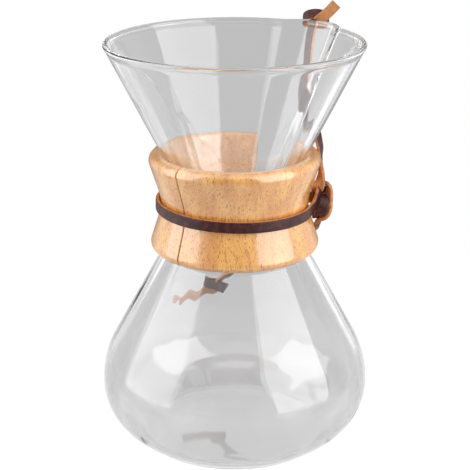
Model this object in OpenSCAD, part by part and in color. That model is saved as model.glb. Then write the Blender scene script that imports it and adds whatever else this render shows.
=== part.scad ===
// Hourglass coffee pot of blown glass, with a two-piece wooden collar round its neck
// and one flat leather lace that ties the collar shut.
// The pot stands on z = 0 with its axis on Z. Its pouring channel runs up the +Y side of the funnel.

/* [Glass vessel] */
// Height from the table to the top of the rim
vessel_h = 213.4; // [204:0.2:224]
// Height of the neck, where the lines of the shoulder and the funnel would meet
neck_z = 128.6; // [123:0.2:134]
// Radius of the bead that finishes the rim
bead_r = 2.1; // [1.7:0.1:2.6]
// Angle between the funnel's wall and the upright
funnel_angle = 26.5; // [25:0.5:28]
// Radius of the body at its widest
body_r = 70.4; // [67:0.2:75]
// Height of the body's widest part
belly_z = 31.5; // [28:0.5:36]
// Rounding from the widest part down to the lower flank
heel_round = 32; // [26:0.5:34]
// Rise of the lower flank above the table
heel_rise = 38; // [32:1:44]
// Rounding where the flank turns in to the foot
foot_round = 8; // [5:0.5:12]
// Rounding from the widest part up to the shoulder
shoulder_round = 50; // [42:1:56]
// Angle between the shoulder and the upright
shoulder_angle = 29; // [27:0.5:31]
// Rounding of the neck
neck_round = 14; // [10:0.5:20]
// Thickness of the glass
glass_t = 2.4; // [1.8:0.1:3.2]
// Height of the hollow under the foot
punt_h = 1.2; // [0.8:0.1:2]
// Inner radius of the ring that the pot stands on
punt_r = 38; // [30:0.5:42]

/* [Pouring channel] */
// Width of the channel
channel_w = 18; // [15:0.5:22]
// How far the channel stands out at the rim
channel_d = 6; // [4:0.2:7]
// How far below the neck the channel's wall starts to rise
channel_drop = 12.6; // [9:0.2:17]

/* [Wooden collar] */
// How far the collar's lower edge lies below the neck
collar_drop = 24.1; // [20:0.1:28]
// Height of the collar from edge to edge
collar_h = 51.9; // [46:0.1:56]
// Height of the waist above the collar's lower edge
waist_z = 25.1; // [22:0.1:28]
// Radius of the waist
waist_r = 38.3; // [37:0.1:41]
// Rounding of the waist
waist_round = 24; // [16:0.5:30]
// Flare of the collar's sides from the upright
flare_angle = 18; // [16:0.2:20]
// Rounding of the outer edge of each lip
lip_round = 4.2; // [3.4:0.1:4.8]
// Width of the flat left on each lip between its two roundings
lip_flat = 0.4; // [0.2:0.1:1]
// Clearance between wood and glass
collar_fit = 0.3; // [0.2:0.05:0.6]
// Gap at the seam between the two halves
seam_gap = 0.4; // [0.3:0.1:1.2]
// Opening between the two halves where the channel stands out, in degrees about the pot's axis
collar_gap = 43; // [42:0.5:48]

/* [Leather lace] */
// Width of the lace
lace_w = 5.9; // [5:0.1:6.4]
// Thickness of the lace
lace_t = 2; // [1.6:0.1:2.4]
// Bevel of the lace's edges
lace_bevel = 0.5; // [0.3:0.05:0.7]
// Clearance between the band and the narrowest part of the waist
band_fit = 0.65; // [0.6:0.05:0.9]
// How far the middle of the band lies below the waist
band_drop = 1.4; // [0:0.1:1.6]
// Tilt of the band, which is lowest at the side knot
band_tilt = 1.4; // [0:0.1:1.6]
// Angle at which each end of the band turns into the side knot
band_end = 22; // [20:0.5:25]
// Turn of the side knot from the +X axis
knot_turn = 41; // [35:1:47]

/* [Hidden] */

glass_color = [0.82, 0.86, 0.87, 0.45];
wood_color = "burlywood";
leather_color = [0.3, 0.16, 0.12];

arc_step = 4;          // degrees of a fillet for each straight facet of an outline
bead_step = 24;        // degrees of the rim bead for each facet
channel_rows = 18;     // rows of the channel's wall, from the neck to the rim
channel_ease = 1.5;    // how much closer its rows lie at the neck than at the rim
channel_cols = 12;     // columns of the channel's wall, across its width
mouth_cols = 16;       // stretches of the bead round the channel's mouth
channel_flat = 1 / 3;  // share of the channel's width that is its flat floor
least_round = 0.6;     // smallest rounding of a lip's inner edge
$fn = 180;

// Outlines of the glass. Corners are [r, z, fillet]; an outline is walked from the foot to the rim.
foot_z = belly_z - heel_round * tan((90 - heel_rise) / 2);
foot_r = body_r - foot_z / tan(heel_rise);
shoulder_z = belly_z + shoulder_round * tan(shoulder_angle / 2);
neck_r = body_r - (neck_z - shoulder_z) * tan(shoulder_angle);
rim_r = neck_r + (vessel_h - neck_z) * tan(funnel_angle);
glass_corners = [
    [punt_r, 0, foot_round], [foot_r, 0, foot_round], [body_r, foot_z, heel_round],
    [body_r, shoulder_z, shoulder_round], [neck_r, neck_z, neck_round]
];
glass_start = [0, punt_h];
glass_end = [rim_r, vessel_h];

function unit(v) = v / norm(v);
function xy(c) = [c[0], c[1]];

// The fillet at corner b between its neighbours a and c, moved to the left of the walk by inset
function fillet(a, b, c, round, inset, step) =
    let (back = unit(a - b), on = unit(c - b), half = acos(back * on) / 2,
         side = sign(cross(-back, on)),
         hub = b + unit(back + on) * round / sin(half),
         first = b + back * round / tan(half) - hub,
         from = atan2(first[1], first[0]), turn = 180 - 2 * half,
         count = max(1, ceil(turn / step)))
    [for (i = [0 : count])
        let (at = from + side * turn * i / count)
        hub + (round - side * inset) * [cos(at), sin(at)]];

function glass_corner(i) =
    i < 0 ? glass_start : i < len(glass_corners) ? xy(glass_corners[i]) : glass_end;
function glass_fillet(i, inset) =
    fillet(glass_corner(i - 1), glass_corner(i), glass_corner(i + 1),
           glass_corners[i][2], inset, arc_step);

// Radius of the straight shoulder and of the funnel at height z, moved inwards by inset
function shoulder_r(z, inset) =
    body_r - (z - shoulder_z) * tan(shoulder_angle) - inset / cos(shoulder_angle);
function funnel_r(z, inset) = rim_r - (vessel_h - z) * tan(funnel_angle) - inset / cos(funnel_angle);

// The rim bead, from the outer wall over the top to the inner wall
bead_hub = [rim_r - bead_r, vessel_h - bead_r];
bead_from = -funnel_angle
    - acos((funnel_r(bead_hub[1], 0) - bead_hub[0]) * cos(funnel_angle) / bead_r);
bead_to = 180 - funnel_angle
    + acos((bead_hub[0] - funnel_r(bead_hub[1], glass_t)) * cos(funnel_angle) / bead_r);
bead_count = ceil((bead_to - bead_from) / bead_step);
bead_arc = [for (i = [0 : bead_count])
    let (at = bead_from + (bead_to - bead_from) * i / bead_count)
    bead_hub + bead_r * [cos(at), sin(at)]];

neck_id = len(glass_corners) - 1;
function reversed(list) = [for (i = [len(list) - 1 : -1 : 0]) list[i]];
function body_skin(inset) =
    concat([[0, punt_h + inset]], [for (i = [0 : neck_id]) each glass_fillet(i, inset)]);

// The same points without the ones that repeat where two fillets meet
function tidy(list) =
    [for (i = [0 : len(list) - 1]) if (i == 0 || norm(list[i] - list[i - 1]) > 0.001) list[i]];

glass_outline = tidy(concat(body_skin(0), bead_arc, reversed(body_skin(glass_t))));

// The channel: how far its wall stands out at height z, and at a share across its half width.
// It starts inside the wall, so that it comes out of the neck at a definite slope.
channel_z = neck_z - channel_drop;
channel_dip = 1.5;
function channel_depth(z) =
    (channel_d + channel_dip) * sin(90 * min(1, (z - channel_z) / (vessel_h - channel_z)))
    - channel_dip;
function channel_shape(across) =
    let (s = min(1, (1 - min(1, abs(across))) / (1 - channel_flat))) s * s * (3 - 2 * s);

// Radius of one skin of the glass at height z, above the shoulder's rounding
neck_hub = [neck_r + neck_round * cos((shoulder_angle - funnel_angle) / 2)
                / cos((shoulder_angle + funnel_angle) / 2),
            neck_z - neck_round * sin((shoulder_angle - funnel_angle) / 2)
                / cos((shoulder_angle + funnel_angle) / 2)];
function skin_r(z, inset) =
    let (round = neck_round + inset)
    z < neck_hub[1] - round * sin(shoulder_angle) ? shoulder_r(z, inset)
    : z > neck_hub[1] + round * sin(funnel_angle) ? funnel_r(z, inset)
    : neck_hub[0] - sqrt(pow(round, 2) - pow(z - neck_hub[1], 2));

// A closed solid through equal rings of points
module skinned(rings) {
    n = len(rings[0]);
    last = len(rings) - 1;
    polyhedron(
        points = [for (ring = rings) each ring],
        faces = concat(
            [[for (j = [0 : n - 1]) j]],
            [for (i = [0 : last - 1], j = [0 : n - 1])
                let (a = i * n + j, b = i * n + (j + 1) % n) each [[a, a + n, b + n], [a, b + n, b]]],
            [[for (j = [n - 1 : -1 : 0]) last * n + j]]));
}

// A solid of the channel's form up the +Y side. Its crest stands out from the glass skin at inset
// by the channel's depth, its edges sink under that skin, and its back lies deep in it.
ridge_sink = 0.5;
module channel_ridge(inset, width, deep, bottom, top) {
    skinned([for (i = [0 : channel_rows])
        let (z = bottom + (top - bottom) * pow(i / channel_rows, channel_ease),
             base = skin_r(z, inset) - ridge_sink,
             stand = channel_depth(z) + ridge_sink)
        [for (back = [0, 1], k = [0 : channel_cols])
            let (across = (back == 0 ? -1 : 1) * (2 * k / channel_cols - 1),
                 r = back == 0 ? base + stand * channel_shape(across) : base - deep,
                 turn = asin(across * width / 2 / base))
            [r * sin(turn), r * cos(turn), z]]]);
}

// The bead goes on round the mouth of the channel
mouth_margin = 1.15;   // reach of this stretch past the channel's edge, as a share of the half width
mouth_shrink = 0.9;    // size of its two ends, which lie inside the round bead
module mouth_bead() {
    spots = [for (k = [0 : mouth_cols])
        let (across = mouth_margin * (2 * k / mouth_cols - 1),
             r = bead_hub[0] + channel_d * channel_shape(across),
             turn = asin(across * channel_w / 2 / bead_hub[0]))
        [r * sin(turn), r * cos(turn)]];
    skinned([for (k = [0 : mouth_cols])
        let (along = unit(spots[min(k + 1, mouth_cols)] - spots[max(k - 1, 0)]),
             out = [-along[1], along[0]],
             size = bead_r * (k == 0 || k == mouth_cols ? mouth_shrink : 1))
        [for (at = [0 : bead_step : 359])
            [spots[k][0] + size * cos(at) * out[0], spots[k][1] + size * cos(at) * out[1],
             bead_hub[1] + size * sin(at)]]]);
}

module glass_vessel() {
    inner_w = channel_w - 2 * glass_t;
    color(glass_color)
        union() {
            difference() {
                union() {
                    rotate_extrude() polygon(glass_outline);
                    channel_ridge(0, channel_w, glass_t / 2, channel_z, bead_hub[1]);
                }
                channel_ridge(glass_t, inner_w, glass_t, channel_z, vessel_h + bead_r);
            }
            mouth_bead();
        }
}

// Section of the collar, walked counterclockwise. Its inner side follows the glass at collar_fit.
collar_z = neck_z - collar_drop;
collar_top = collar_z + collar_h;
waist_corner_r = waist_r - waist_round * (1 / cos(flare_angle) - 1);
low_lip_r = waist_corner_r + waist_z * tan(flare_angle);
top_lip_r = waist_corner_r + (collar_h - waist_z) * tan(flare_angle);
low_bore_r = shoulder_r(collar_z, -collar_fit);
top_bore_r = funnel_r(collar_top, -collar_fit);

// Rounding of a lip's inner edge, which takes what its outer rounding and its flat leave
function inner_round(lip_r, bore_r, bore_angle) =
    max(least_round, (lip_r - bore_r - lip_flat - lip_round / tan((90 - flare_angle) / 2))
        * tan((90 + bore_angle) / 2));
collar_corners = [
    [low_bore_r, collar_z, inner_round(low_lip_r, low_bore_r, shoulder_angle)],
    [low_lip_r, collar_z, lip_round],
    [waist_corner_r, collar_z + waist_z, waist_round],
    [top_lip_r, collar_top, lip_round],
    [top_bore_r, collar_top, inner_round(top_lip_r, top_bore_r, funnel_angle)]
];
collar_neck = glass_fillet(neck_id, -collar_fit);

function collar_fillet(i) =
    let (n = len(collar_corners),
         a = i == 0 ? collar_neck[0] : xy(collar_corners[i - 1]),
         c = i == n - 1 ? collar_neck[len(collar_neck) - 1] : xy(collar_corners[i + 1]))
    fillet(a, xy(collar_corners[i]), c, collar_corners[i][2], 0, arc_step * 2);

collar_outline = tidy(concat([for (i = [0 : len(collar_corners) - 1]) each collar_fillet(i)],
                             reversed(collar_neck)));

// Each half runs from the seam at the front to its side of the channel
module collar_half(side) {
    reach = 2 * waist_r;
    color(wood_color)
        intersection() {
            rotate([0, 0, side > 0 ? -90 : 90 + collar_gap / 2])
                rotate_extrude(angle = 180 - collar_gap / 2) polygon(collar_outline);
            translate([side > 0 ? seam_gap / 2 : -reach - seam_gap / 2, -reach, 0])
                cube([reach, 2 * reach, vessel_h]);
        }
}

module collar_half_left() { collar_half(-1); }
module collar_half_right() { collar_half(1); }

// Section of the lace: x across its width, y through its thickness, with bevelled edges
lace_section = [
    [lace_w / 2, lace_t / 2 - lace_bevel], [lace_w / 2 - lace_bevel, lace_t / 2],
    [lace_bevel - lace_w / 2, lace_t / 2], [-lace_w / 2, lace_t / 2 - lace_bevel],
    [-lace_w / 2, lace_bevel - lace_t / 2], [lace_bevel - lace_w / 2, -lace_t / 2],
    [lace_w / 2 - lace_bevel, -lace_t / 2], [lace_w / 2, lace_bevel - lace_t / 2]
];

// A lace along a route. Each stop is [point, face]: where the middle of the lace lies,
// and which way its grain side looks there. Its ends are cut square to the ways given,
// so that two stretches that share a stop and a way meet face to face.
function lace_ring(stop, way) =
    let (along = unit(way), face = unit(stop[1] - along * (stop[1] * along)),
         wide = cross(face, along))
    [for (q = lace_section) stop[0] + wide * q[0] + face * q[1]];

module lace(route, first_way, last_way) {
    last = len(route) - 1;
    color(leather_color)
        skinned([for (i = [0 : last])
            lace_ring(route[i], i == 0 ? first_way : i == last ? last_way
                : route[i + 1][0] - route[i - 1][0])]);
}

// A turn of lace round an oval, closed on itself, with its flat side in. A turn is given as
// [middle, axis, way it is widest, half of its width, half of its depth].
wrap_stops = 16;       // stops round the turn of each end knot
module lace_wrap(turn) {
    middle = turn[0];
    axis = unit(turn[1]);
    deep_way = unit(cross(axis, turn[2]));
    half_wide = turn[3];
    half_deep = turn[4];
    across = cross(deep_way, axis);
    rings = [for (i = [0 : wrap_stops - 1])
        let (at = 360 * i / wrap_stops,
             spot = middle + across * half_wide * cos(at) + deep_way * half_deep * sin(at),
             face = unit(across * half_deep * cos(at) + deep_way * half_wide * sin(at)))
        [for (q = lace_section) spot + axis * q[0] + face * q[1]]];
    n = len(lace_section);
    color(leather_color)
        polyhedron(
            points = [for (ring = rings) each ring],
            faces = [for (i = [0 : wrap_stops - 1], j = [0 : n - 1])
                let (a = i * n + j, b = i * n + (j + 1) % n,
                     c = ((i + 1) % wrap_stops) * n + j, d = ((i + 1) % wrap_stops) * n + (j + 1) % n)
                each [[a, c, d], [a, d, b]]]);
}

// The band lies in a plane that is tilted towards the side knot. The rest of the lace is laid out
// from the spot where that knot sits on the band: x runs out through the knot, y runs round the pot
// from the knot towards the pouring channel, and z runs up.
band_z = collar_z + waist_z - band_drop;
band_mid_r = waist_r + band_fit + lace_t / 2;
function tilted(p) = [p[0] * cos(band_tilt), p[1], -p[0] * sin(band_tilt)];
function band_stop(turn) =
    [tilted([band_mid_r * (cos(turn) - 1), band_mid_r * sin(turn)]), tilted([cos(turn), sin(turn)])];
front_way = tilted([sin(band_end), cos(band_end)]);
back_way = tilted([sin(band_end), -cos(band_end)]);

// The front end of the band climbs, goes under the back end, loops down outside and leaves below
lower_way = [-0.1, 0.85, -0.5];
side_front_route = [
    band_stop(-band_end),
    [[-1.3, -10.4, 0.3], [0.95, -0.3, 0]],
    [[0.2, -6.6, 1.2], [0.93, -0.35, -0.1]],
    [[1.7, -4.2, 3.6], [0.88, -0.42, -0.25]],
    [[3, -2.4, 6.2], [0.85, -0.45, -0.1]],
    [[4.2, 1.2, 8], [0.75, -0.45, 0.45]],
    [[5.4, 4.4, 9.6], [0.4, -0.1, 0.9]],
    [[7.4, 4.4, 10.8], [0.5, 0.2, 0.83]],
    [[9.1, 2.7, 9], [0.8, 0.4, 0.4]],
    [[9.8, 1, 5], [0.95, 0.25, 0.1]],
    [[9.7, -0.4, 0.8], [0.97, -0.1, 0]],
    [[9.3, -1, -3.2], [0.93, 0.1, -0.3]],
    [[7.6, -0.8, -6.2], [0.55, 0.3, -0.75]],
    [[5.2, 1.2, -7.9], [0.3, 0.4, -0.87]],
    [[4.2, 5.4, -9.8], [0.6, 0.25, -0.78]]
];
// The back end of the band climbs over it and turns its flesh side out
upper_way = [0.02, 0.65, 0.75];
side_back_route = [
    band_stop(band_end),
    [[-0.6, 10.6, 0.8], [0.9, 0.3, 0.3]],
    [[1.2, 6.6, 2.6], [0.7, 0.3, 0.65]],
    [[2.4, 3.2, 4.9], [0.35, 0.45, 0.82]],
    [[2.7, 1.4, 7.6], [0.1, 0.8, 0.6]],
    [[3.7, 1, 10.8], [0.25, 0.96, 0.1]],
    [[4.5, 3.4, 14], [0.75, 0.65, 0]],
    [[4.8, 7.5, 17.4], [0.97, 0.15, 0]]
];
side_tuck_ways = [[-0.1, -0.9, -0.4], [-0.2, 0.5, -0.8]];
side_tuck_route = [
    [[7, 1.4, 4.4], [0.35, -0.2, 0.9]],
    [[6.7, -1.4, 3.9], [0.3, -0.35, 0.9]],
    [[6.3, -3.4, 2.2], [0.2, -0.75, 0.6]],
    [[5.6, -3.9, -0.2], [0.15, -1, 0]],
    [[4.9, -2.8, -3.4], [0.1, -0.9, -0.4]],
    [[4.6, -0.6, -6], [0.1, -0.8, -0.6]]
];
// A strand that fills the middle of the knot
side_core_ways = [[0.1, -0.2, -1], [0.1, 0, -1]];
side_core_route = [
    [[4.2, 2.2, 7], [0.3, -0.95, 0.1]],
    [[4.8, 1.2, 2.4], [0.3, -0.95, 0.1]],
    [[5, 0.8, -2], [0.25, -0.95, 0]],
    [[5.2, 0.8, -6.4], [0.2, -0.95, 0]]
];

upper_route = [
    side_back_route[len(side_back_route) - 1],
    [[4.6, 12.2, 22.8], [0.95, -0.25, 0]],
    [[4.3, 16.4, 28.8], [0.8, -0.6, 0]],
    [[2, 22.6, 34.8], [0.45, -0.9, 0.1]],
    [[-0.8, 31.8, 40.8], [-0.1, -0.95, 0.2]],
    [[-1.2, 38.8, 48.2], [-0.45, -0.85, 0.3]],
    [[-0.9, 44.4, 55.8], [-0.7, -0.65, 0.3]],
    [[-0.3, 49.4, 63.8], [-0.78, -0.55, 0.3]],
    [[0.5, 54.1, 71.8], [-0.78, -0.55, 0.3]],
    [[1.7, 57.9, 78.8], [-0.75, -0.6, 0.3]],
    [[3.3, 60.9, 84.3], [-0.7, -0.62, 0.35]]
];
upper_end_way = [0.15, 0.55, 0.8];
upper_fill_way = [0.1, 0.7, 0.6];
upper_fill_route = [
    upper_route[len(upper_route) - 1],
    [[4, 64.6, 86], [-0.3, -0.62, 0.72]],
    [[4.4, 68, 87.4], [0, -0.6, 0.8]]
];
upper_tip_ways = [[0.6, -0.3, 0.75], [0.7, 0.1, 0.7]];
upper_tip_route = [
    [[4.9, 61.8, 84.8], [0, 1, 0.3]],
    [[7, 60.2, 86.6], [0, 1, 0.1]],
    [[10.7, 60.2, 89.8], [-0.05, 1, 0.05]],
    [[14.8, 60.6, 94.1], [-0.05, 1, 0.05]]
];
upper_turn = [[4.2, 66.2, 85], [0.05, 0.7, 0.7], [1, 0, 0.08], 6.2, 4.6];

lower_route = [
    side_front_route[len(side_front_route) - 1],
    [[4.4, 11, -13.8], [0.85, 0.1, -0.5]],
    [[3, 17.6, -17.6], [0.85, 0, -0.5]],
    [[-0.4, 24.4, -21.8], [0.85, -0.1, -0.5]],
    [[-5, 31, -27], [0.8, -0.25, -0.55]],
    [[-10.5, 37.6, -32.6], [0.72, -0.4, -0.57]],
    [[-17.3, 45, -38.8], [0.65, -0.5, -0.57]],
    [[-25.3, 51.8, -45.6], [0.6, -0.56, -0.57]],
    [[-33.1, 57.2, -52.2], [0.57, -0.6, -0.57]],
    [[-39.3, 60.8, -57.4], [0.55, -0.6, -0.58]],
    [[-44.6, 63.8, -61.6], [0.55, -0.6, -0.58]],
    [[-50, 67.2, -66], [0.5, -0.65, -0.57]]
];
lower_end_way = [-0.5, 0.3, -0.8];
lower_fill_way = [-0.37, -0.1, -0.9];
lower_fill_route = [
    lower_route[len(lower_route) - 1],
    [[-51.6, 69, -69.4], [0.15, -0.95, 0.1]],
    [[-53, 69.2, -72.8], [0.1, -0.95, 0.2]]
];
lower_tip_ways = [[-0.85, 0.1, -0.45], [-0.85, -0.5, -0.15]];
lower_tip_route = [
    [[-52, 69.8, -72], [-0.1, 0.9, 0.42]],
    [[-57, 69.4, -73.8], [-0.2, 0.88, 0.43]],
    [[-63.4, 67.6, -75.2], [-0.28, 0.86, 0.42]],
    [[-69.4, 65, -76.2], [-0.36, 0.84, 0.4]],
    [[-74.4, 62, -77], [-0.42, 0.82, 0.38]]
];
lower_turn = [[-51.9, 69.3, -70], [-0.37, -0.3, -0.87], [0.9, 0.1, -0.37], 5.5, 2.6];

module knot_place() {
    rotate([0, 0, knot_turn])
        translate([band_mid_r * cos(band_tilt), 0, band_z - band_mid_r * sin(band_tilt)])
            children();
}

module lace_band() {
    color(leather_color)
        rotate([0, 0, knot_turn]) translate([0, 0, band_z]) rotate([0, band_tilt, 0])
            rotate([0, 0, band_end]) rotate_extrude(angle = 360 - 2 * band_end)
                translate([band_mid_r, 0]) rotate(90) polygon(lace_section);
}

module lace_side_knot() {
    knot_place() {
        lace(side_front_route, front_way, lower_way);
        lace(side_back_route, back_way, upper_way);
        lace(side_tuck_route, side_tuck_ways[0], side_tuck_ways[1]);
        lace(side_core_route, side_core_ways[0], side_core_ways[1]);
    }
}

module lace_upper_tail() {
    knot_place() lace(upper_route, upper_way, upper_end_way);
}

module lace_upper_knot() {
    knot_place() {
        lace(upper_fill_route, upper_end_way, upper_fill_way);
        lace(upper_tip_route, upper_tip_ways[0], upper_tip_ways[1]);
        lace_wrap(upper_turn);
    }
}

module lace_lower_tail() {
    knot_place() lace(lower_route, lower_way, lower_end_way);
}

module lace_lower_knot() {
    knot_place() {
        lace(lower_fill_route, lower_end_way, lower_fill_way);
        lace(lower_tip_route, lower_tip_ways[0], lower_tip_ways[1]);
        lace_wrap(lower_turn);
    }
}

glass_vessel();
collar_half_left();
collar_half_right();
lace_band();
lace_side_knot();
lace_upper_tail();
lace_upper_knot();
lace_lower_tail();
lace_lower_knot();
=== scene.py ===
import math

import bmesh
import bpy
import numpy as np
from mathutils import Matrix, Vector, noise


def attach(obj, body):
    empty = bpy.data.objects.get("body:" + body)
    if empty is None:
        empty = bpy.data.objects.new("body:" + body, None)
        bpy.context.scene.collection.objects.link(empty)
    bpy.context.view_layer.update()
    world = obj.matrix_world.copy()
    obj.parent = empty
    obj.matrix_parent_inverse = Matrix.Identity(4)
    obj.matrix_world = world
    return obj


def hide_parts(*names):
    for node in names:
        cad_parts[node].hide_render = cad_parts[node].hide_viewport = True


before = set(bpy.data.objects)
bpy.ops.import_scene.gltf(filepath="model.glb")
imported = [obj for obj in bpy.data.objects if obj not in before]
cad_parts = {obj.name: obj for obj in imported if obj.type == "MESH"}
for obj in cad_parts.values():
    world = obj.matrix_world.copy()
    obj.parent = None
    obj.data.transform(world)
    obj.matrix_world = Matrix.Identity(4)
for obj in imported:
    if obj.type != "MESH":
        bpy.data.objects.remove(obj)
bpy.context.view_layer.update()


def deg(angle):
    return math.radians(angle)


# Metres throughout: the pot stands upright on z = 0, with its pouring channel towards +Y.
# The viewer stands 41 degrees round from -Y, towards +X.
viewTurn = deg(41)
toViewer = Vector((math.sin(viewTurn), -math.cos(viewTurn), 0))
toRight = Vector((math.cos(viewTurn), math.sin(viewTurn), 0))

# Camera: where the photograph was taken from. Focus, frame width and centre are in its pixels.
shot = dict(distance=0.706, height=0.354, tilt=19.01, focus=1429, frameWidth=470, centreX=234.7,
            sensor=36.0, nearest=0.01)


def addCamera():
    data = bpy.data.cameras.new("shot")
    data.sensor_width = shot["sensor"]
    data.lens = shot["sensor"] * shot["focus"] / shot["frameWidth"]
    data.shift_x = 0.5 - shot["centreX"] / shot["frameWidth"]
    data.clip_start = shot["nearest"]
    camera = bpy.data.objects.new("shot", data)
    camera.location = toViewer * shot["distance"] + Vector((0, 0, shot["height"]))
    camera.rotation_euler = (deg(90 - shot["tilt"]), 0, viewTurn)
    bpy.context.scene.collection.objects.link(camera)
    bpy.context.scene.camera = camera


addCamera()
print("camera set")


# Small helpers for meshes and materials

# Faces turned outward, after points that lie closer together than asked are joined
def tidied(mesh, closer=0):
    work = bmesh.new()
    work.from_mesh(mesh)
    if closer:
        bmesh.ops.remove_doubles(work, verts=work.verts, dist=closer)
    bmesh.ops.recalc_face_normals(work, faces=work.faces)
    work.to_mesh(mesh)
    work.free()


def meshPiece(name, points, faces):
    mesh = bpy.data.meshes.new(name)
    mesh.from_pydata([tuple(p) for p in points], [], faces)
    mesh.validate()
    piece = bpy.data.objects.new(name, mesh)
    bpy.context.scene.collection.objects.link(piece)
    tidied(mesh, closer=1e-7)
    mesh.shade_smooth()
    return piece


def newMaterial(name):
    material = bpy.data.materials.new(name)
    material.use_nodes = True
    tree = material.node_tree
    tree.nodes.clear()
    out = tree.nodes.new("ShaderNodeOutputMaterial")
    return material, tree, out


def feed(tree, socket, value):
    if isinstance(value, bpy.types.NodeSocket):
        tree.links.new(value, socket)
    else:
        socket.default_value = value


# A node with its settings, and its inputs by name, where an underscore stands for a space
def addNode(tree, kind, settings=None, **inputs):
    node = tree.nodes.new(kind)
    for key, value in (settings or {}).items():
        setattr(node, key, value)
    for key, value in inputs.items():
        feed(tree, node.inputs[key.replace("_", " ")], value)
    return node


def mathNode(tree, operation, *values, clamp=False):
    node = addNode(tree, "ShaderNodeMath", {"operation": operation, "use_clamp": clamp})
    for socket, value in zip(node.inputs, values):
        feed(tree, socket, value)
    return node.outputs[0]


def blendColor(tree, factor, first, second):
    node = addNode(tree, "ShaderNodeMix", {"data_type": "RGBA"})
    for index, value in ((0, factor), (6, first), (7, second)):      # the sockets that colours use
        feed(tree, node.inputs[index], value)
    return node.outputs[2]


def mixShaders(tree, factor, first, second):
    node = addNode(tree, "ShaderNodeMixShader", Fac=factor)
    tree.links.new(first.outputs[0], node.inputs[1])
    tree.links.new(second.outputs[0], node.inputs[2])
    return node


# Goes smoothly from toLow to toHigh while the value crosses the range between the bounds
def rangeNode(tree, value, bounds, toLow=0.0, toHigh=1.0):
    node = tree.nodes.new("ShaderNodeMapRange")
    node.interpolation_type = "SMOOTHSTEP"
    numbers = (value, bounds[0], bounds[1], toLow, toHigh)
    for key, number in zip(("Value", "From Min", "From Max", "To Min", "To Max"), numbers):
        feed(tree, node.inputs[key], number)
    return node.outputs[0]


# Noise, drawn out along the axes where pull is small
def noiseNode(tree, where, scale, detail, roughness, pull=None):
    if pull:
        where = addNode(tree, "ShaderNodeMapping", Vector=where, Scale=pull).outputs[0]
    node = addNode(tree, "ShaderNodeTexNoise", Vector=where, Scale=scale, Detail=detail,
                   Roughness=roughness)
    return node.outputs["Fac"]


def srgb(red, green, blue):
    def linear(value):
        value /= 255
        return value / 12.92 if value <= 0.04045 else ((value + 0.055) / 1.055) ** 2.4
    return (linear(red), linear(green), linear(blue), 1)


# Glass: its outline, which the collar's bore follows too, and its pouring channel.
# The bead is slimmer, the funnel leans out a little more and the channel is wider than in the solids.
# The skin of blown glass has ripples all over and upright flutes, both calm at the foot and the rim.

pot = dict(height=0.2134, neckZ=0.1286, beadOut=0.0002, funnelLean=deg(26.8), bodyR=0.0704,
           bellyZ=0.0315, heelRound=0.032, heelRise=deg(38), footRound=0.008, shoulderRound=0.050,
           shoulderLean=deg(29), neckRound=0.014, wall=0.0024, puntH=0.0012, puntR=0.038,
           arcStep=deg(2.5), beadStep=deg(10), rowStep=0.003, fineStep=deg(0.6), coarseStep=deg(2),
           fineReach=deg(24))
blown = dict(wave=0.00014, waveSize=0.032, upright=0.6, flute=0.00016, fluteSize=0.14, fullR=0.03,
             waveShift=30, fluteShift=900, calmFootZ=0.004, calmFoot=0.01, calmRim=0.016)
channel = dict(span=deg(36), depth=0.006, drop=0.0126, dip=0.0015, flat=1 / 3, flankTurn=deg(1),
               bend=0.24)


# The fillet at corner b between a and c, moved to the left of the walk by inset
def fillet(a, b, c, radius, inset, step):
    a, b, c = Vector(a[:2]), Vector(b[:2]), Vector(c[:2])
    back, onward = (a - b).normalized(), (c - b).normalized()
    half = math.acos(back.dot(onward)) / 2
    side = 1 if (-back).cross(onward) > 0 else -1
    hub = b + (back + onward).normalized() * radius / math.sin(half)
    first = b + back * radius / math.tan(half) - hub
    start = math.atan2(first.y, first.x)
    turn = math.pi - 2 * half
    count = max(1, math.ceil(turn / step))
    size = radius - side * inset
    return [hub + size * Vector((math.cos(start + side * turn * i / count),
                                 math.sin(start + side * turn * i / count)))
            for i in range(count + 1)]


footZ = pot["bellyZ"] - pot["heelRound"] * math.tan((math.pi / 2 - pot["heelRise"]) / 2)
footR = pot["bodyR"] - footZ / math.tan(pot["heelRise"])
shoulderZ = pot["bellyZ"] + pot["shoulderRound"] * math.tan(pot["shoulderLean"] / 2)
neckR = pot["bodyR"] - (pot["neckZ"] - shoulderZ) * math.tan(pot["shoulderLean"])
rimR = neckR + (pot["height"] - pot["neckZ"]) * math.tan(pot["funnelLean"])
glassCorners = [(pot["puntR"], 0, pot["footRound"]), (footR, 0, pot["footRound"]),
                (pot["bodyR"], footZ, pot["heelRound"]), (pot["bodyR"], shoulderZ, pot["shoulderRound"]),
                (neckR, pot["neckZ"], pot["neckRound"])]
glassWalk = [(0, pot["puntH"])] + glassCorners + [(rimR, pot["height"])]


def glassFillet(index, inset, step):
    return fillet(glassWalk[index], glassWalk[index + 1], glassWalk[index + 2],
                  glassCorners[index][2], inset, step)


# Radius of the shoulder's and the funnel's straight walls at height z, drawn in by inset
def shoulderR(z, inset=0):
    lean = pot["shoulderLean"]
    return pot["bodyR"] - (z - shoulderZ) * math.tan(lean) - inset / math.cos(lean)


def funnelR(z, inset=0):
    lean = pot["funnelLean"]
    return rimR - (pot["height"] - z) * math.tan(lean) - inset / math.cos(lean)


# How far the pouring channel stands out at height z, and at a share across its half width.
# It starts inside the wall by its dip, so that it comes out of the neck at a definite slope.
def channelDepth(z):
    low = pot["neckZ"] - channel["drop"]
    rise = min(1, max(0, (z - low) / (pot["height"] - low)))
    return (channel["depth"] + channel["dip"]) * math.sin(math.pi / 2 * rise) - channel["dip"]


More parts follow.
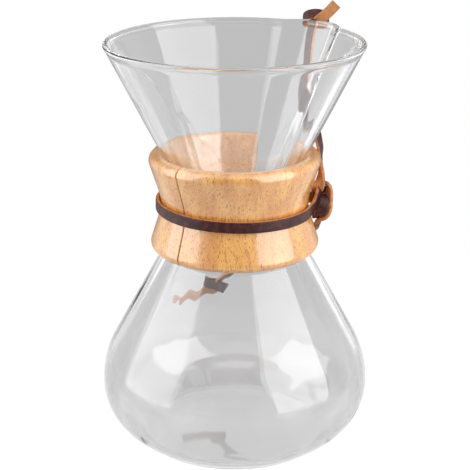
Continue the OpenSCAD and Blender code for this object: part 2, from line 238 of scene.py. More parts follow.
def channelShape(across):
    s = min(1, (1 - min(1, abs(across))) / (1 - channel["flat"]))
    bend = channel["bend"]      # share of each flank that is taken by the rounding at either end
    if s < bend:
        return s * s / (2 * bend * (1 - bend))
    if s > 1 - bend:
        return 1 - (1 - s) ** 2 / (2 * bend * (1 - bend))
    return (s - bend / 2) / (1 - bend)


# Breaks long straight stretches of an outline into short rows, and keeps points that coincide once
def refined(points, step):
    result = [points[0]]
    for point in points[1:]:
        count = max(1, math.ceil((point - result[-1]).length / step))
        start = result[-1]
        for i in range(1, count + 1):
            if (point - start).length > 1e-6:
                result.append(start.lerp(point, i / count))
    return result


def glassOutline():
    lean, wall = pot["funnelLean"], pot["wall"]
    bead = wall / 2 + pot["beadOut"]
    hub = Vector((funnelR(pot["height"] - bead, wall / 2), pot["height"] - bead))
    lap = math.acos(wall / 2 / bead)
    first, last = -lean - lap, math.pi - lean + lap
    count = math.ceil((last - first) / pot["beadStep"])
    outer = [Vector((0, pot["puntH"]))]
    inner = [Vector((0, pot["puntH"] + wall))]
    for index in range(len(glassCorners)):
        outer += glassFillet(index, 0, pot["arcStep"])
        inner += glassFillet(index, wall, pot["arcStep"])
    beadArc = [hub + bead * Vector((math.cos(first + (last - first) * i / count),
                                    math.sin(first + (last - first) * i / count)))
               for i in range(count + 1)]
    rows = [(p, 0.0) for p in refined(outer + [beadArc[0]], pot["rowStep"])]
    rows += [(p, wall * min(1, max(0, 2 * i / count - 1))) for i, p in enumerate(beadArc) if i > 0]
    rows += [(p, wall) for p in refined([beadArc[-1]] + inner[::-1], pot["rowStep"])[1:]]
    return rows                 # each row: its point, and how far it lies inside the outer skin


# Turns about the axis, measured from +Y, close together where the channel is
def turnsRound():
    fine = round(pot["fineReach"] / pot["fineStep"])
    rest = 2 * math.pi - 2 * pot["fineReach"]
    coarse = round(rest / pot["coarseStep"])
    near = [pot["fineStep"] * i for i in range(-fine, fine + 1)]
    far = [pot["fineReach"] + rest * i / coarse for i in range(1, coarse)]
    return near + far


# The slight unevenness of blown glass at a turn, a radius, a height and an inset into the wall
def blownWave(turn, r, z, inset):
    ripple = noise.noise(Vector((r * math.sin(turn), r * math.cos(turn),
                                 z * blown["upright"] + inset * blown["waveShift"])) / blown["waveSize"])
    flute = noise.noise(Vector((math.sin(turn), math.cos(turn),
                                z + inset * blown["fluteShift"])) / blown["fluteSize"])
    calm = min(1, max(0, z - blown["calmFootZ"]) / blown["calmFoot"],
               (pot["height"] - z) / blown["calmRim"])
    return (blown["wave"] * ripple + blown["flute"] * flute) * min(1, r / blown["fullR"]) * calm


def makeGlass():
    rows, turns = glassOutline(), turnsRound()
    points, faces = [], []
    for point, inset in rows:
        half = channel["span"] / 2 - channel["flankTurn"] * inset / pot["wall"]
        stand = max(0, channelDepth(point.y))
        for turn in turns:
            across = (turn if turn < math.pi else turn - 2 * math.pi) / half
            r = point.x + stand * channelShape(across) + blownWave(turn, point.x, point.y, inset)
            points.append((r * math.sin(turn), r * math.cos(turn), point.y))
    count = len(turns)
    for i in range(len(rows) - 1):
        for j in range(count):
            a, b = i * count + j, i * count + (j + 1) % count
            faces.append((a, a + count, b + count, b))
    return meshPiece("glassVessel", points, faces)


glass = makeGlass()
print("glass", len(glass.data.polygons), "faces")


# Collar: the same section as the solids, with softened edges at the seam and at the opening

collar = dict(drop=0.0241, height=0.0519, waistZ=0.0251, waistR=0.0383, waistRound=0.024,
              flare=deg(18), lipRound=0.0042, lipFlat=0.0004, leastRound=0.0006, fit=0.0003,
              seam=0.0004, gap=deg(43), seamSoft=0.0004, gapSoft=0.0014, softRows=5, leastR=0.02,
              arcStep=deg(4), turnStep=deg(1.2), gapSkip=3, seamSkip=2, rowStep=0.003)
collarLow = pot["neckZ"] - collar["drop"]
collarTop = collarLow + collar["height"]


# Rounding of a lip's inner edge, which takes what its outer rounding and its flat leave
def innerRound(lipR, boreR, boreLean):
    outerTakes = collar["lipRound"] / math.tan((math.pi / 2 - collar["flare"]) / 2)
    spare = lipR - boreR - collar["lipFlat"] - outerTakes
    return max(collar["leastRound"], spare * math.tan((math.pi / 2 + boreLean) / 2))


def collarOutline():
    waistCorner = collar["waistR"] - collar["waistRound"] * (1 / math.cos(collar["flare"]) - 1)
    lean = math.tan(collar["flare"])
    lowLip = waistCorner + collar["waistZ"] * lean
    topLip = waistCorner + (collar["height"] - collar["waistZ"]) * lean
    lowBore, topBore = shoulderR(collarLow, -collar["fit"]), funnelR(collarTop, -collar["fit"])
    corners = [(lowBore, collarLow, innerRound(lowLip, lowBore, pot["shoulderLean"])),
               (lowLip, collarLow, collar["lipRound"]),
               (waistCorner, collarLow + collar["waistZ"], collar["waistRound"]),
               (topLip, collarTop, collar["lipRound"]),
               (topBore, collarTop, innerRound(topLip, topBore, pot["funnelLean"]))]
    bore = glassFillet(len(glassCorners) - 1, -collar["fit"], pot["arcStep"])
    walk = [bore[0]] + corners + [bore[-1]]
    outline = []
    for index, corner in enumerate(corners):
        outline += fillet(walk[index], corner, walk[index + 2], corner[2], 0, collar["arcStep"])
    return refined(outline + bore[::-1] + [outline[0]], collar["rowStep"])[:-1]


# A closed outline drawn in by a small distance all round, for the softened edge of an end face
def drawnIn(outline, distance):
    count = len(outline)
    result = []
    for i, point in enumerate(outline):
        along = (outline[(i + 1) % count] - outline[i - 1]).normalized()
        result.append(point + Vector((-along.y, along.x)) * distance)
    return result


# Each half runs from its side of the channel to the seam at the front. Its two ends are rounded off,
# and the even rows that would lie within the rounding are skipped.
def makeCollarHalf(name, side):
    outline = collarOutline()
    seamTurn = collar["seam"] / 2 / collar["waistR"]
    first, last = collar["gap"] / 2, math.pi - seamTurn
    rises = [math.pi / 2 * k / collar["softRows"] for k in range(collar["softRows"] + 1)]
    ends = [[(at, sense * soft * (1 - math.cos(rise)), soft * (1 - math.sin(rise))) for rise in rises]
            for at, soft, sense in ((first, collar["gapSoft"], 1), (last, collar["seamSoft"], -1))]
    count = int((last - first) / collar["turnStep"])
    middle = [(first + (last - first) * i / count, 0, 0)
              for i in range(collar["gapSkip"], count + 1 - collar["seamSkip"])]
    walk = ends[0] + middle + ends[1][::-1]
    points, faces = [], []
    for at, ahead, inset in walk:
        for point in drawnIn(outline, inset):
            turn = at + ahead / max(point.x, collar["leastR"])
            points.append((side * point.x * math.sin(turn), point.x * math.cos(turn), point.y))
    size = len(outline)
    for i in range(len(walk) - 1):
        for j in range(size):
            a, b = i * size + j, i * size + (j + 1) % size
            faces.append((a, b, b + size, a + size))
    faces.append(tuple(range(size)))
    faces.append(tuple((len(walk) - 1) * size + j for j in range(size))[::-1])
    return meshPiece(name, points, faces)


collarLeft = makeCollarHalf("collarHalfLeft", -1)
collarRight = makeCollarHalf("collarHalfRight", 1)
print("collar halves made")


# Lace: a flat strap that follows stops, each a point and the way its grain side looks, in millimetres
# from the spot where the side knot sits on the band: x out through the knot, y round to the channel

lace = dict(width=0.0059, thick=0.002, edge=0.0007, sampleStep=0.0012, bandFit=0.00065,
            bandDrop=0.0014, bandTilt=deg(1.4), bandEnd=deg(22), bandStops=72, turnStops=16,
            knotTurn=deg(41), edgeSteps=3, sectionPoints=44)
bandR = collar["waistR"] + lace["bandFit"] + lace["thick"] / 2
knotOut = bandR * math.cos(lace["bandTilt"])
knotZ = collarLow + collar["waistZ"] - lace["bandDrop"] - bandR * math.sin(lace["bandTilt"])


def tilted(x, y):
    return (x * math.cos(lace["bandTilt"]), y, -x * math.sin(lace["bandTilt"]))


def bandStop(turn):
    return (tilted(bandR * 1000 * (math.cos(turn) - 1), bandR * 1000 * math.sin(turn)),
            tilted(math.cos(turn), math.sin(turn)))


# Side knot: the front end of the band climbs, goes under the back end, loops down outside and
# leaves below
sideFront = [
    bandStop(-lace["bandEnd"]),
    ((-1.3, -10.4, 0.3), (0.95, -0.3, 0)), ((0.2, -6.6, 1.2), (0.93, -0.35, -0.1)),
    ((1.7, -4.2, 3.6), (0.88, -0.42, -0.25)), ((3, -2.4, 6.2), (0.85, -0.45, -0.1)),
    ((4.2, 1.2, 8), (0.75, -0.45, 0.45)), ((5.4, 4.4, 9.6), (0.4, -0.1, 0.9)),
    ((7.3, 4.4, 10.6), (0.5, 0.2, 0.83)), ((8.5, 2.9, 8.8), (0.65, 0.6, 0.45)),
    ((8.7, 1.2, 5), (0.75, 0.65, 0.1)), ((8.7, -0.2, 0.8), (0.85, 0.5, 0)),
    ((8.4, -0.8, -2.8), (0.85, 0.35, -0.35)), ((7.1, -0.8, -5.3), (0.55, 0.3, -0.75)),
    ((4.9, 1.2, -7), (0.3, 0.4, -0.87)), ((4.2, 5.4, -9.8), (0.6, 0.25, -0.78))]
# The back end of the band climbs over it and leaves above
sideBack = [
    bandStop(lace["bandEnd"]),
    ((-0.6, 10.6, 0.8), (0.9, 0.3, 0.3)), ((1.2, 6.6, 2.6), (0.7, 0.3, 0.65)),
    ((2.4, 3.2, 4.9), (0.35, 0.45, 0.82)), ((2.7, 1.4, 7.6), (0.1, 0.8, 0.6)),
    ((3.7, 1, 10.8), (0.25, 0.96, 0.1)), ((4.5, 3.4, 14), (0.75, 0.65, 0)),
    ((4.8, 7.5, 17.4), (0.97, 0.15, 0))]
# A short end is tucked in on the front side, and one more strand fills the middle
sideTuck = [
    ((7, 1.4, 4.4), (0.35, -0.2, 0.9)),
    ((6.7, -1.4, 3.9), (0.3, -0.35, 0.9)), ((6.2, -3.4, 2.4), (0.2, -0.75, 0.6)),
    ((5.3, -4.1, 0.2), (0.12, -1, 0.05)), ((4.4, -3.4, -2.6), (0.1, -0.95, -0.25)),
    ((3.9, -1.8, -4.8), (0.1, -0.85, -0.5))]
sideCore = [
    ((3.2, 2.4, 6), (0.3, -0.95, 0.1)),
    ((3, 1.4, 2), (0.3, -0.95, 0.1)), ((3, 1, -2.2), (0.25, -0.95, 0)),
    ((3.3, 0.7, -7), (0.2, -0.95, 0))]
# The upper tail leans up along the funnel. Its end knot has a filling strand, a cut end and a turn
# round both.
upperTail = [
    sideBack[-1],
    ((4.6, 12.2, 22.8), (0.95, -0.25, 0)), ((4.3, 16.4, 28.8), (0.8, -0.6, 0)),
    ((2, 22.6, 34.8), (0.45, -0.9, 0.1)), ((-0.8, 31.8, 40.8), (-0.1, -0.95, 0.2)),
    ((-1.2, 38.8, 48.2), (-0.45, -0.85, 0.3)), ((-0.9, 44.4, 55.8), (-0.7, -0.65, 0.3)),
    ((-0.3, 49.4, 63.8), (-0.78, -0.55, 0.3)), ((0.5, 54.1, 71.8), (-0.78, -0.55, 0.3)),
    ((1.7, 57.9, 78.8), (-0.75, -0.6, 0.3)), ((3.3, 60.9, 84.3), (-0.7, -0.62, 0.35))]
upperFill = [
    upperTail[-1],
    ((4, 64.6, 86), (-0.3, -0.62, 0.72)), ((4.4, 68, 87.4), (0, -0.6, 0.8))]
upperTip = [
    ((4.9, 61.8, 84.8), (0, 1, 0.3)),
    ((7, 60.2, 86.6), (0, 1, 0.1)), ((10.7, 60.2, 89.8), (-0.05, 1, 0.05)),
    ((14.8, 60.6, 94.1), (-0.05, 1, 0.05))]
upperTurn = dict(middle=(4.2, 66.2, 85), axis=(0.05, 0.7, 0.7), wide=(1, 0, 0.08), halfWide=6.2,
                 halfDeep=4.6)
# The lower tail hangs down over the shoulder and ends in a knot of the same kind
lowerTail = [
    sideFront[-1],
    ((4.4, 11, -13.8), (0.85, 0.1, -0.5)), ((3, 17.6, -17.6), (0.85, 0, -0.5)),
    ((-0.4, 24.4, -21.8), (0.85, -0.1, -0.5)), ((-5, 31, -27), (0.8, -0.25, -0.55)),
    ((-10.5, 37.6, -32.6), (0.72, -0.4, -0.57)), ((-17.3, 45, -38.8), (0.65, -0.5, -0.57)),
    ((-25.3, 51.8, -45.6), (0.6, -0.56, -0.57)), ((-33.1, 57.2, -52.2), (0.57, -0.6, -0.57)),
    ((-39.3, 60.8, -57.4), (0.55, -0.6, -0.58)), ((-44.6, 63.8, -61.6), (0.55, -0.6, -0.58)),
    ((-50, 67.2, -66), (0.5, -0.65, -0.57))]
lowerFill = [
    lowerTail[-1],
    ((-51.6, 69, -69.4), (0.15, -0.95, 0.1)), ((-53, 69.2, -72.8), (0.1, -0.95, 0.2))]
lowerTip = [
    ((-52, 69.8, -72), (-0.1, 0.9, 0.42)),
    ((-57, 69.4, -73.8), (-0.2, 0.88, 0.43)), ((-63.4, 67.6, -75.2), (-0.28, 0.86, 0.42)),
    ((-69.4, 65, -76.2), (-0.36, 0.84, 0.4)), ((-74.4, 62, -77), (-0.42, 0.82, 0.38))]
lowerTurn = dict(middle=(-51.9, 69.3, -70), axis=(-0.37, -0.3, -0.87), wide=(0.9, 0.1, -0.37),
                 halfWide=5.5, halfDeep=2.6)


# From the knot's own frame to the pot's
def turned(x, y, z):
    return Vector((x * math.cos(lace["knotTurn"]) - y * math.sin(lace["knotTurn"]),
                   x * math.sin(lace["knotTurn"]) + y * math.cos(lace["knotTurn"]), z))


def placed(point):
    return turned(point[0] / 1000 + knotOut, point[1] / 1000, point[2] / 1000 + knotZ)


# A smooth run through the stops, with the grain's way carried along and kept square to the run
def smoothRun(stops, closed=False):
    spots = [placed(s[0]) for s in stops]
    ways = [turned(*s[1]).normalized() for s in stops]
    n = len(stops)

    def knot(i):
        return i % n if closed else min(max(i, 0), n - 1)

    run, grains = [], []
    for i in range(n if closed else n - 1):
        p0, p1, p2, p3 = (spots[knot(i + k)] for k in (-1, 0, 1, 2))
        w1, w2 = ways[knot(i)], ways[knot(i + 1)]
        count = max(2, round((p2 - p1).length / lace["sampleStep"]))
        for k in range(count):
            t = k / count
            run.append(0.5 * (2 * p1 + (p2 - p0) * t + (2 * p0 - 5 * p1 + 4 * p2 - p3) * t ** 2
                              + (3 * p1 - p0 - 3 * p2 + p3) * t ** 3))
            grains.append(w1.lerp(w2, t * t * (3 - 2 * t)))
    if not closed:
        run.append(spots[-1])
        grains.append(ways[-1])
    total = len(run)
    for i in range(total):
        before = run[(i - 1) % total if closed else max(i - 1, 0)]
        after = run[(i + 1) % total if closed else min(i + 1, total - 1)]
        along = (after - before).normalized()
        grains[i] = (grains[i] - along * grains[i].dot(along)).normalized()
    return run, grains


def runLength(run):
    return sum((b - a).length for a, b in zip(run, run[1:]))


# The flat turn that an end knot takes round its own lace
def wrapStops(turn):
    axis = Vector(turn["axis"]).normalized()
    deepWay = axis.cross(Vector(turn["wide"])).normalized()
    across = deepWay.cross(axis)
    stops = []
    for i in range(lace["turnStops"]):
        at = 2 * math.pi * i / lace["turnStops"]
        spot = (Vector(turn["middle"]) + across * turn["halfWide"] * math.cos(at)
                + deepWay * turn["halfDeep"] * math.sin(at))
        face = across * turn["halfDeep"] * math.cos(at) + deepWay * turn["halfWide"] * math.sin(at)
        stops.append((tuple(spot), tuple(face.normalized())))
    return stops


# A node that keeps a value with the geometry under a label
def kept(tree, geometry, kind, label, value):
    node = tree.nodes.new("GeometryNodeCaptureAttribute")
    node.capture_items.new(kind, label)
    tree.links.new(geometry, node.inputs["Geometry"])
    tree.links.new(value, node.inputs[label])
    return node


# Geometry nodes: sweep a rounded strap section along each strand and keep where each point lies on it
def strapTree():
    tree = bpy.data.node_groups.new("strap along a run", "GeometryNodeTree")
    face = tree.interface
    face.new_socket("Geometry", in_out="INPUT", socket_type="NodeSocketGeometry")
    for label in ("Width", "Thickness", "Edge rounding"):
        face.new_socket(label, in_out="INPUT", socket_type="NodeSocketFloat")
    face.new_socket("Leather", in_out="INPUT", socket_type="NodeSocketMaterial")
    face.new_socket("Geometry", in_out="OUTPUT", socket_type="NodeSocketGeometry")
    given, result = tree.nodes.new("NodeGroupInput"), tree.nodes.new("NodeGroupOutput")

    run = addNode(tree, "GeometryNodeMeshToCurve", Mesh=given.outputs["Geometry"])
    grain = addNode(tree, "GeometryNodeInputNamedAttribute", {"data_type": "FLOAT_VECTOR"}, Name="grainWay")
    facing = addNode(tree, "GeometryNodeSetCurveNormal", {"mode": "FREE"}, Curve=run.outputs["Curve"],
                     Normal=grain.outputs["Attribute"])
    travelled = tree.nodes.new("GeometryNodeSplineParameter")
    keepTravel = kept(tree, facing.outputs["Curve"], "FLOAT", "travel", travelled.outputs["Length"])

    section = addNode(tree, "GeometryNodeCurvePrimitiveQuadrilateral", Width=given.outputs["Thickness"],
                      Height=given.outputs["Width"])
    rounded = addNode(tree, "GeometryNodeFilletCurve", {"mode": "POLY"}, Curve=section.outputs["Curve"],
                      Count=lace["edgeSteps"], Radius=given.outputs["Edge rounding"])
    spaced = addNode(tree, "GeometryNodeResampleCurve", Curve=rounded.outputs["Curve"],
                     Count=lace["sectionPoints"])
    spot = tree.nodes.new("GeometryNodeInputPosition")
    keepSpot = kept(tree, spaced.outputs["Curve"], "VECTOR", "spot", spot.outputs["Position"])

    sweep = addNode(tree, "GeometryNodeCurveToMesh", Curve=keepTravel.outputs["Geometry"],
                    Profile_Curve=keepSpot.outputs["Geometry"], Fill_Caps=True)
    parts = addNode(tree, "ShaderNodeSeparateXYZ", Vector=keepSpot.outputs["spot"])
    place = addNode(tree, "ShaderNodeCombineXYZ", X=keepTravel.outputs["travel"], Y=parts.outputs["Y"])
    surface = addNode(tree, "GeometryNodeStoreNamedAttribute", {"data_type": "FLOAT2", "domain": "CORNER"},
                      Name="strapPlace", Geometry=sweep.outputs["Mesh"], Value=place.outputs["Vector"])
    deep = addNode(tree, "GeometryNodeStoreNamedAttribute", {"data_type": "FLOAT", "domain": "POINT"},
                   Name="strapDepth", Geometry=surface.outputs["Geometry"], Value=parts.outputs["X"])
    smooth = addNode(tree, "GeometryNodeSetShadeSmooth", Geometry=deep.outputs["Geometry"])
    plain = addNode(tree, "GeometryNodeRealizeInstances", Geometry=smooth.outputs["Geometry"])
    finish = addNode(tree, "GeometryNodeSetMaterial", Geometry=plain.outputs["Geometry"],
                     Material=given.outputs["Leather"])
    tree.links.new(finish.outputs["Geometry"], result.inputs["Geometry"])
    return tree


def inputId(tree, label):
    return next(s.identifier for s in tree.interface.items_tree
                if s.in_out == "INPUT" and s.name == label)


strap = strapTree()


def makeStrap(name, strands, leather):
    points, edges, grains = [], [], []
    for run, ways, closed in strands:
        base = len(points)
        points += [tuple(p) for p in run]
        grains += [tuple(w) for w in ways]
        edges += [(base + i, base + i + 1) for i in range(len(run) - 1)]
        if closed:
            edges.append((base + len(run) - 1, base))
    mesh = bpy.data.meshes.new(name)
    mesh.from_pydata(points, edges, [])
    way = mesh.attributes.new("grainWay", "FLOAT_VECTOR", "POINT")
    way.data.foreach_set("vector", np.array(grains, dtype=np.float32).ravel())
    piece = bpy.data.objects.new(name, mesh)
    bpy.context.scene.collection.objects.link(piece)
    sweep = piece.modifiers.new("strap", "NODES")
    sweep.node_group = strap
    for label, value in (("Width", lace["width"]), ("Thickness", lace["thick"]),
                         ("Edge rounding", lace["edge"]), ("Leather", leather)):
        sweep[inputId(strap, label)] = value
    bpy.context.view_layer.update()
    seen = piece.evaluated_get(bpy.context.evaluated_depsgraph_get())
    plain = bpy.data.meshes.new_from_object(seen)
    piece.modifiers.remove(sweep)
    piece.data = plain
    plain.name = name
    tidied(plain)
    return piece


# Leather: dark dyed grain side, tan cut edges and flesh side

def makeLeather():
    look = dict(grain=srgb(52, 20, 20), worn=srgb(86, 46, 40), tan=srgb(214, 156, 108),
                deepTan=srgb(168, 106, 64), roughness=0.42, tanRoughness=0.75, specular=0.25,
                cloud=dict(scale=260, detail=4, roughness=0.6), wornRange=(0.42, 0.72),
                fine=dict(scale=2600, detail=3, roughness=0.6), dyeWander=0.0004,
                fibres=dict(pull=(500, 3200, 1), scale=1, detail=3, roughness=0.6),
                paleRange=(0.3, 0.7), dyeRange=(0.00052, 0.00082), bump=0.35, bumpDepth=0.0003)
    # dyeRange is the depth towards the grain side, in metres, over which tan turns into dyed leather
    material, tree, out = newMaterial("laceLeather")
    where = addNode(tree, "ShaderNodeTexCoord").outputs["Object"]
    strapPlace = addNode(tree, "ShaderNodeAttribute", {"attribute_name": "strapPlace"}).outputs["Vector"]
    depth = addNode(tree, "ShaderNodeAttribute", {"attribute_name": "strapDepth"}).outputs["Fac"]
    cloud = noiseNode(tree, where, **look["cloud"])
    fine = noiseNode(tree, where, **look["fine"])
    fibres = noiseNode(tree, strapPlace, **look["fibres"])
    wander = mathNode(tree, "MULTIPLY_ADD", fine, look["dyeWander"], -look["dyeWander"] / 2)
    grainSide = rangeNode(tree, mathNode(tree, "ADD", depth, wander), look["dyeRange"])
    grainColor = blendColor(tree, rangeNode(tree, cloud, look["wornRange"]), look["grain"], look["worn"])
    tanColor = blendColor(tree, rangeNode(tree, fibres, look["paleRange"]), look["deepTan"], look["tan"])
    color = blendColor(tree, grainSide, tanColor, grainColor)
    height = mathNode(tree, "ADD", mathNode(tree, "MULTIPLY", fine, 0.5),
                      mathNode(tree, "MULTIPLY", fibres, 0.5))
    bump = addNode(tree, "ShaderNodeBump", Strength=look["bump"], Distance=look["bumpDepth"],
                   Height=height)
    rough = rangeNode(tree, grainSide, (0, 1), look["tanRoughness"], look["roughness"])
    shader = addNode(tree, "ShaderNodeBsdfPrincipled", Base_Color=color, Roughness=rough,
                     Specular_IOR_Level=look["specular"], Normal=bump.outputs[0])
    tree.links.new(shader.outputs[0], out.inputs["Surface"])
    return material


leather = makeLeather()


def strand(stops, closed=False):
    run, grains = smoothRun(stops, closed)
    return run, grains, closed


bandSpan = 2 * math.pi - 2 * lace["bandEnd"]
bandStops = [bandStop(lace["bandEnd"] + bandSpan * i / lace["bandStops"])
             for i in range(lace["bandStops"] + 1)]
upperRun, lowerRun = smoothRun(upperTail)[0], smoothRun(lowerTail)[0]
laceBand = makeStrap("laceBand", [strand(bandStops)], leather)
laceSideKnot = makeStrap("laceSideKnot", [strand(sideFront), strand(sideBack), strand(sideTuck),
                                         strand(sideCore)], leather)
laceUpperTail = makeStrap("laceUpperTail", [strand(upperTail)], leather)
laceUpperKnot = makeStrap("laceUpperKnot", [strand(upperFill), strand(upperTip),
                                            strand(wrapStops(upperTurn), True)], leather)
laceLowerTail = makeStrap("laceLowerTail", [strand(lowerTail)], leather)
laceLowerKnot = makeStrap("laceLowerKnot", [strand(lowerFill), strand(lowerTip),
                                            strand(wrapStops(lowerTurn), True)], leather)
print("lace made")


# Glass: clear, with shadows let through so that the lace behind it is lit

def makeGlassLook():
    look = dict(tint=(0.983, 0.983, 0.987, 1), shadowTint=(0.94, 0.94, 0.945, 1), ior=1.47,
                ripple=dict(pull=(1, 1, 0.5), scale=60, detail=2, roughness=0.5), bump=0.25,
                bumpDepth=0.0002)
    material, tree, out = newMaterial("clearGlass")
    where = addNode(tree, "ShaderNodeTexCoord").outputs["Object"]
    bump = addNode(tree, "ShaderNodeBump", Strength=look["bump"], Distance=look["bumpDepth"],
                   Height=noiseNode(tree, where, **look["ripple"]))
    shader = addNode(tree, "ShaderNodeBsdfPrincipled", Base_Color=look["tint"], Roughness=0.0,
                     IOR=look["ior"], Transmission_Weight=1.0, Normal=bump.outputs[0])
    clear = addNode(tree, "ShaderNodeBsdfTransparent", Color=look["shadowTint"])
    paths = addNode(tree, "ShaderNodeLightPath")
    through = mathNode(tree, "MAXIMUM", paths.outputs["Is Shadow Ray"], paths.outputs["Is Diffuse Ray"])
    both = mixShaders(tree, through, shader, clear)
    tree.links.new(both.outputs[0], out.inputs["Surface"])
    return material


# Wood: pale honey hardwood under clear lacquer, with short upright pores

def makeWood():
    look = dict(pale=srgb(244, 183, 100), honey=srgb(220, 150, 70), pore=srgb(148, 86, 40),
                streak=srgb(200, 132, 68), roughness=0.45, coatRoughness=0.13, coatIor=1.8,
                broad=dict(pull=(1, 1, 0.18), scale=120, detail=4, roughness=0.55),
                streaks=dict(pull=(1, 1, 0.06), scale=420, detail=3, roughness=0.5),
                pores=dict(pull=(1, 1, 0.055), scale=2300, detail=1, roughness=0.4),
                paleRange=(0.3, 0.7), streakRange=(0.45, 0.75), streakShare=0.7,
                poreRange=(0.56, 0.68), poreShare=0.75, bump=0.15, bumpDepth=0.0001)
    material, tree, out = newMaterial("lacqueredWood")
    where = addNode(tree, "ShaderNodeTexCoord").outputs["Object"]
    broad = rangeNode(tree, noiseNode(tree, where, **look["broad"]), look["paleRange"])
    streaks = rangeNode(tree, noiseNode(tree, where, **look["streaks"]), look["streakRange"],
                        0, look["streakShare"])
    pores = rangeNode(tree, noiseNode(tree, where, **look["pores"]), look["poreRange"])
    color = blendColor(tree, broad, look["honey"], look["pale"])
    color = blendColor(tree, streaks, color, look["streak"])
    color = blendColor(tree, mathNode(tree, "MULTIPLY", pores, look["poreShare"]), color, look["pore"])
    bump = addNode(tree, "ShaderNodeBump", Strength=look["bump"], Distance=look["bumpDepth"],
                   Height=mathNode(tree, "SUBTRACT", 1.0, pores))
    shader = addNode(tree, "ShaderNodeBsdfPrincipled", Base_Color=color, Roughness=look["roughness"],
                     Normal=bump.outputs[0], Coat_Weight=1.0, Coat_Roughness=look["coatRoughness"],
                     Coat_IOR=look["coatIor"])
    tree.links.new(shader.outputs[0], out.inputs["Surface"])
    return material


glass.data.materials.append(makeGlassLook())
wood = makeWood()
collarLeft.data.materials.append(wood)
collarRight.data.materials.append(wood)
print("materials made")


# Stage: a pale floor that fades out into the white background, two large soft lamps and a top light

stage = dict(floorR=0.6, floorSides=96, fadeRange=(0.16, 0.42), floorTone=0.58, whiten=0.6,
             whitenSeen=0.08, cameraTone=1.0, glossTone=0.3, seenTone=0.48, sideTone=1.3,
             ambient=0.2, asideRange=(0.4, 0.85), stripStart=(0.16, 0.42), stripEnd=(0.58, 0.7),
             upwardsRange=(0.1, 0.4), lampAim=0.1, bounces=32)
lamps = dict(
    left=dict(turn=-78, rise=20, distance=0.95, width=0.95, height=1.5, tone=2.3),
    right=dict(turn=58.5, rise=20, distance=0.95, width=0.95, height=1.5, tone=2.8),
    top=dict(turn=10, rise=78, distance=1.1, width=0.8, height=0.8, tone=0.55))


# Rays that a surface throws back, without those that go through the glass
def mirrored(tree, paths):
    return mathNode(tree, "SUBTRACT", paths.outputs["Is Glossy Ray"],
                    paths.outputs["Is Transmission Ray"], clamp=True)


def addFloor():
    bpy.ops.mesh.primitive_circle_add(vertices=stage["floorSides"], radius=stage["floorR"],
                                      fill_type="NGON")
    floor = bpy.context.object
    floor.name = "floor"
    material, tree, out = newMaterial("paleFloor")
    where = addNode(tree, "ShaderNodeTexCoord").outputs["Object"]
    reach = addNode(tree, "ShaderNodeVectorMath", {"operation": "LENGTH"}, Vector=where)
    away = rangeNode(tree, reach.outputs["Value"], stage["fadeRange"])
    paths = addNode(tree, "ShaderNodeLightPath")
    plain = addNode(tree, "ShaderNodeBsdfDiffuse", Color=(stage["floorTone"],) * 3 + (1,))
    direct = mathNode(tree, "MAXIMUM", paths.outputs["Is Camera Ray"], mirrored(tree, paths))
    direct = mathNode(tree, "MULTIPLY", direct, stage["whiten"])
    seen = mathNode(tree, "MULTIPLY", paths.outputs["Is Transmission Ray"], stage["whitenSeen"])
    glow = addNode(tree, "ShaderNodeEmission", Strength=mathNode(tree, "ADD", direct, seen))
    lit = addNode(tree, "ShaderNodeAddShader")
    tree.links.new(plain.outputs[0], lit.inputs[0])
    tree.links.new(glow.outputs[0], lit.inputs[1])
    both = mixShaders(tree, away, lit, addNode(tree, "ShaderNodeBsdfTransparent"))
    tree.links.new(both.outputs[0], out.inputs["Surface"])
    floor.data.materials.append(material)


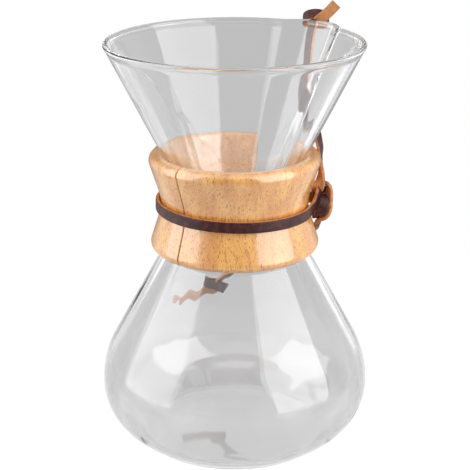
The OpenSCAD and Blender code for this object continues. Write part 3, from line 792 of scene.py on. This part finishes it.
# The camera sees white all round. Mirrored rays find grey that turns white to the sides and upwards,
# and rays through the glass find grey with a white strip to either side and white upwards.
def addWorld():
    world = bpy.data.worlds.new("studio")
    world.use_nodes = True
    bpy.context.scene.world = world
    tree = world.node_tree
    tree.nodes.clear()
    out = tree.nodes.new("ShaderNodeOutputWorld")
    paths = addNode(tree, "ShaderNodeLightPath")
    around = addNode(tree, "ShaderNodeTexCoord").outputs["Generated"]
    sideways = addNode(tree, "ShaderNodeVectorMath", {"operation": "DOT_PRODUCT"}, Vector=around)
    sideways.inputs[1].default_value = toRight
    across = mathNode(tree, "ABSOLUTE", sideways.outputs["Value"])
    upwards = addNode(tree, "ShaderNodeSeparateXYZ", Vector=around).outputs["Z"]
    aside = rangeNode(tree, mathNode(tree, "MAXIMUM", across, upwards), stage["asideRange"])
    strips = mathNode(tree, "MULTIPLY", rangeNode(tree, across, stage["stripStart"]),
                      rangeNode(tree, across, stage["stripEnd"], 1, 0))
    strips = mathNode(tree, "MAXIMUM", strips, rangeNode(tree, upwards, stage["upwardsRange"]))
    strength = stage["ambient"]
    for ray, tone, sideTone, share in (
            (paths.outputs["Is Camera Ray"], "cameraTone", "cameraTone", aside),
            (mirrored(tree, paths), "glossTone", "sideTone", aside),
            (paths.outputs["Is Transmission Ray"], "seenTone", "sideTone", strips)):
        level = mathNode(tree, "MULTIPLY", share, stage[sideTone] - stage[tone])
        level = mathNode(tree, "ADD", level, stage[tone] - stage["ambient"])
        strength = mathNode(tree, "ADD", mathNode(tree, "MULTIPLY", ray, level), strength)
    sky = addNode(tree, "ShaderNodeBackground", Strength=strength, Color=(1, 1, 1, 1))
    tree.links.new(sky.outputs[0], out.inputs["Surface"])


# A soft lamp that looks at the pot's middle. Its turn is counted from the viewer towards the right.
def addLamp(name, rig):
    data = bpy.data.lights.new(name, "AREA")
    data.shape = "RECTANGLE"
    data.size = rig["width"]
    data.size_y = rig["height"]
    data.energy = rig["tone"] * math.pi * rig["width"] * rig["height"]
    lamp = bpy.data.objects.new(name, data)
    turn, rise = deg(rig["turn"]), deg(rig["rise"])
    level = toViewer * math.cos(turn) + toRight * math.sin(turn)
    way = level * math.cos(rise) + Vector((0, 0, math.sin(rise)))
    lamp.location = Vector((0, 0, stage["lampAim"])) + way * rig["distance"]
    lamp.rotation_euler = way.to_track_quat("Z", "Y").to_euler()
    lamp.visible_camera = False
    bpy.context.scene.collection.objects.link(lamp)


addFloor()
addWorld()
for lampName, rig in lamps.items():
    addLamp(lampName + "Light", rig)
bpy.context.scene.view_settings.view_transform = "Standard"
rays = bpy.context.scene.cycles     # the rim and the sides need long paths through the glass
rays.max_bounces = rays.glossy_bounces = rays.transmission_bounces = stage["bounces"]
print("stage set")

# What each piece stands for and rides on
for piece, node, slot in ((glass, "glass_vessel", "glass"), (collarLeft, "collar_half_left", "wood"),
                          (collarRight, "collar_half_right", "wood"), (laceBand, "lace_band", "leather"),
                          (laceSideKnot, "lace_side_knot", "leather"),
                          (laceUpperTail, "lace_upper_tail", "leather"),
                          (laceUpperKnot, "lace_upper_knot", "leather"),
                          (laceLowerTail, "lace_lower_tail", "leather"),
                          (laceLowerKnot, "lace_lower_knot", "leather")):
    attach(piece, "root")
    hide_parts(node)

bpy.context.view_layer.update()
print("lengths", round(runLength(upperRun), 4), round(runLength(lowerRun), 4))
